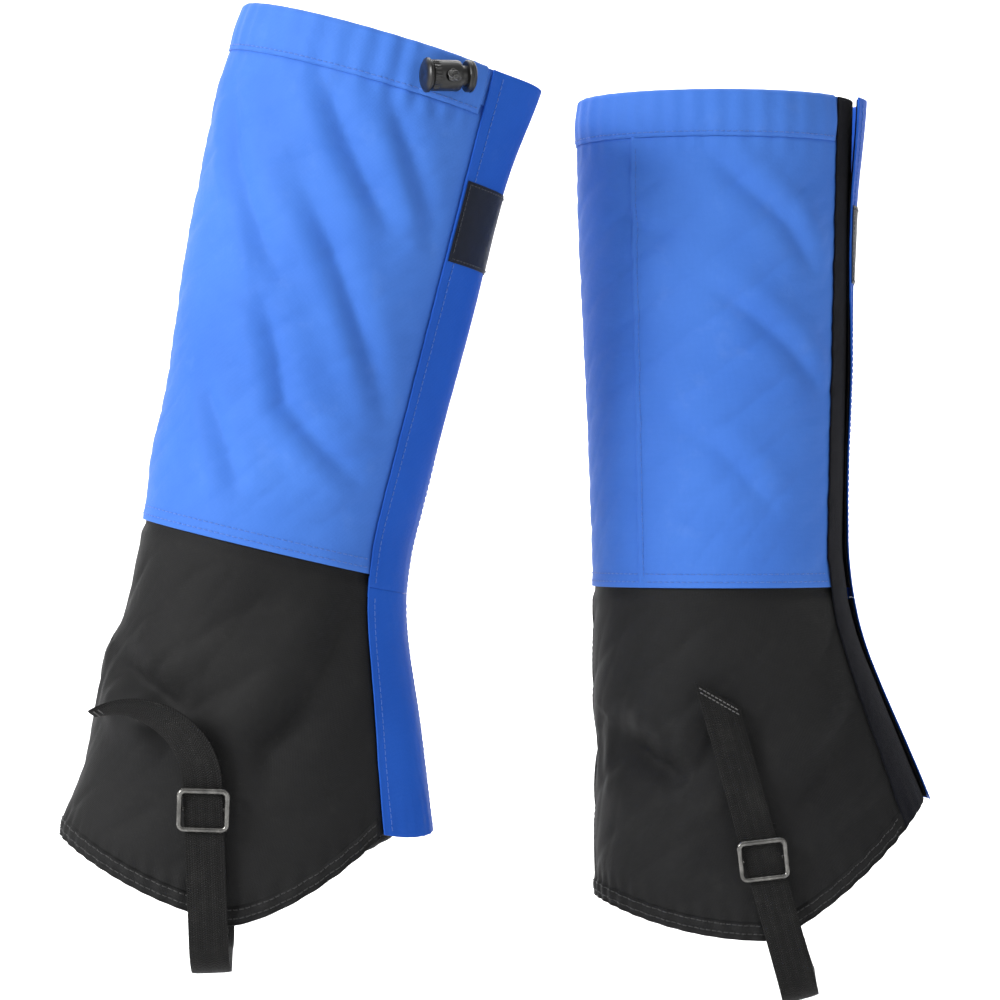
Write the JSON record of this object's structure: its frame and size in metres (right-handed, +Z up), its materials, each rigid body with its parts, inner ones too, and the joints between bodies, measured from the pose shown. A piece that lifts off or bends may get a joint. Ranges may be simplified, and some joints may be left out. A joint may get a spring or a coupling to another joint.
{
  "type": "gaiters",
  "caption": "Leg covers with a cinched rim, hook-and-loop front flap, bell-shaped hem and a webbing strap under the boot.",
  "frame": {"origin": "middle of the pair's bounding box at its base, level with the lower strap", "axes": "+Z up along the left gaiter's leg, +X forward over the toes, +Y to the wearer's left"},
  "size_m": [0.4366, 0.2316, 0.4957],
  "materials": {
    "blue_cloth": "coated woven polyester, slight sheen",
    "black_cloth": "matte coated nylon",
    "webbing": "woven webbing",
    "hook_and_loop_tape": "hook-and-loop pile",
    "label_cloth": "smooth woven patch, plain",
    "elastic": "gathered elastic braid",
    "cord": "round braided cord",
    "grey_metal": "dull grey plating",
    "spring_steel": "drawn wire",
    "black_plastic": "moulded, satin"
  },
  "bodies": {
    "left_gaiter": {"left_upper_outer_panel": "blue_cloth", "left_upper_inner_panel": "blue_cloth", "left_lower_outer_panel": "black_cloth", "left_lower_inner_panel": "black_cloth", "left_hem_facing": "black_cloth", "left_ankle_elastic": "elastic", "left_loop_tape": "hook_and_loop_tape", "left_collar": "blue_cloth", "left_drawcord": "cord", "left_eyelet": "grey_metal", "left_outer_slider": "grey_metal", "left_outer_slider_tab": "webbing", "left_inner_slider": "grey_metal", "left_inner_slider_tab": "webbing"},
    "left_flap_upper": {"left_flap_upper": "blue_cloth", "left_hook_tape_upper": "hook_and_loop_tape", "left_label": "label_cloth"},
    "left_flap_lower": {"left_flap_lower": "blue_cloth", "left_hook_tape_lower": "hook_and_loop_tape"},
    "left_strap": {"left_instep_strap": "webbing"},
    "left_cord_lock": {"left_lock_barrel": "black_plastic", "left_lock_spring": "spring_steel"},
    "left_lock_plunger": {"left_lock_plunger": "black_plastic"},
    "right_gaiter": {"right_upper_outer_panel": "blue_cloth", "right_upper_inner_panel": "blue_cloth", "right_lower_outer_panel": "black_cloth", "right_lower_inner_panel": "black_cloth", "right_hem_facing": "black_cloth", "right_ankle_elastic": "elastic", "right_loop_tape": "hook_and_loop_tape", "right_collar": "blue_cloth", "right_drawcord": "cord", "right_eyelet": "grey_metal", "right_outer_slider": "grey_metal", "right_outer_slider_tab": "webbing", "right_inner_slider": "grey_metal", "right_inner_slider_tab": "webbing"},
    "right_flap_upper": {"right_flap_upper": "blue_cloth", "right_hook_tape_upper": "hook_and_loop_tape", "right_label": "label_cloth"},
    "right_flap_lower": {"right_flap_lower": "blue_cloth", "right_hook_tape_lower": "hook_and_loop_tape"},
    "right_strap": {"right_instep_strap": "webbing"},
    "right_cord_lock": {"right_lock_barrel": "black_plastic", "right_lock_spring": "spring_steel"},
    "right_lock_plunger": {"right_lock_plunger": "black_plastic"}
  },
  "joints": [
    {"name": "right_gaiter_lift", "type": "slide", "parent": "left_gaiter", "child": "right_gaiter", "axis": [0, 0, 1], "range_m": [0, 0.05]},
    {"name": "left_flap_upper_hinge", "type": "hinge", "parent": "left_gaiter", "child": "left_flap_upper", "pos_m": [0.15641, 0.07656, 0.20632], "axis": [0.0192, 0.0149, 0.9997], "range_deg": [0, 100]},
    {"name": "left_flap_lower_hinge", "type": "hinge", "parent": "left_gaiter", "child": "left_flap_lower", "pos_m": [0.15641, 0.07656, 0.20632], "axis": [-0.3451, 0, 0.9386], "range_deg": [0, 100]},
    {"name": "left_strap_slide", "type": "slide", "parent": "left_gaiter", "child": "left_strap", "axis": [-0.2672, 0, 0.9636], "range_m": [-0.012, 0.018]},
    {"name": "left_lock_swivel", "type": "hinge", "parent": "left_gaiter", "child": "left_cord_lock", "pos_m": [0.14116, 0.10383, 0.45432], "axis": [0.3679, 0.9299, 0], "range_deg": [-90, 90]},
    {"name": "left_plunger_press", "type": "slide", "parent": "left_cord_lock", "child": "left_lock_plunger", "axis": [-0.9299, 0.3679, 0], "range_m": [0, 0.003], "stiffness_N_per_m": 1200, "deforming": ["left_lock_spring"]},
    {"name": "right_flap_upper_hinge", "type": "hinge", "parent": "right_gaiter", "child": "right_flap_upper", "pos_m": [-0.07333, -0.07667, 0.21575], "axis": [-0.2487, 0.0149, -0.9685], "range_deg": [0, 100]},
    {"name": "right_flap_lower_hinge", "type": "hinge", "parent": "right_gaiter", "child": "right_flap_lower", "pos_m": [-0.07333, -0.07667, 0.21575], "axis": [0.1199, 0, -0.9928], "range_deg": [0, 100]},
    {"name": "right_strap_slide", "type": "slide", "parent": "right_gaiter", "child": "right_strap", "axis": [-0.0384, 0, 0.9993], "range_m": [0, 0.018]},
    {"name": "right_lock_swivel", "type": "hinge", "parent": "right_gaiter", "child": "right_cord_lock", "pos_m": [-0.03111, -0.10394, 0.46061], "axis": [0.358, -0.9299, -0.0846], "range_deg": [-90, 90]},
    {"name": "right_plunger_press", "type": "slide", "parent": "right_cord_lock", "child": "right_lock_plunger", "axis": [-0.9336, -0.358, -0.0157], "range_m": [0, 0.003], "stiffness_N_per_m": 1200, "deforming": ["right_lock_spring"]}
  ],
  "couplings": [
    {"joint": "left_flap_lower_hinge", "follows": "left_flap_upper_hinge", "ratio": 1},
    {"joint": "right_flap_lower_hinge", "follows": "right_flap_upper_hinge", "ratio": 1}
  ]
}
